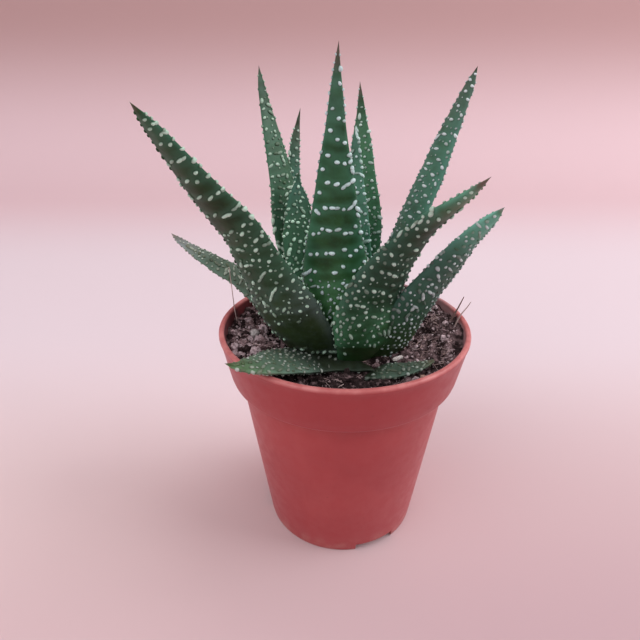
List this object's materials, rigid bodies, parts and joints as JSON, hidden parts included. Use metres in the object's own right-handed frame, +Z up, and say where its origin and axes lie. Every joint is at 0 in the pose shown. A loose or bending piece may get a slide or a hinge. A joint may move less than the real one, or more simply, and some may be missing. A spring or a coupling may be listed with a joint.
{
  "type": "potted haworthia",
  "caption": "Small succulent in a tapered plastic pot: a rosette of pointed leaves with raised white warts growing from peaty potting mix.",
  "frame": {"origin": "middle of the bounding box at the level of the surface that the pot stands on; the pot's own axis is at x = 0.0067, y = 0.0020", "axes": "+Z up along the pot, -Y towards the viewer of the picture, +X to that viewer's right"},
  "size_m": [0.0684, 0.068, 0.106],
  "materials": {
    "pot_plastic": "matt terracotta-red polypropylene",
    "potting_mix": "loose peaty mix",
    "stem": "fibrous",
    "leaf": "smooth, firm, slightly waxy, with raised white warts",
    "old_leaf": "smooth, grey-green with fine raised warts",
    "light_bark": "rough",
    "grey_peat": "crumbly",
    "tan_bark": "rough"
  },
  "bodies": {
    "root": {"pot": "pot_plastic", "potting_mix": "potting_mix", "stem_and_roots": "stem", "leaf_heart": "leaf", "leaf_inner_left": "leaf", "leaf_inner_right": "leaf", "leaf_rear_left_inner": "leaf", "leaf_rear_centre": "leaf", "leaf_front_centre": "leaf", "leaf_left_rear": "leaf", "leaf_right_rear": "leaf", "leaf_left_front": "leaf", "leaf_right_front": "leaf", "leaf_rear_low_centre": "old_leaf", "leaf_rear_low_left": "old_leaf", "leaf_rear_low_right": "old_leaf", "leaf_left_low": "old_leaf", "leaf_right_low": "old_leaf", "leaf_front_low_left": "old_leaf", "leaf_front_low_right": "old_leaf", "bark_chip": "light_bark", "grey_clod": "grey_peat", "tan_chip": "tan_bark"}
  },
  "joints": []
}
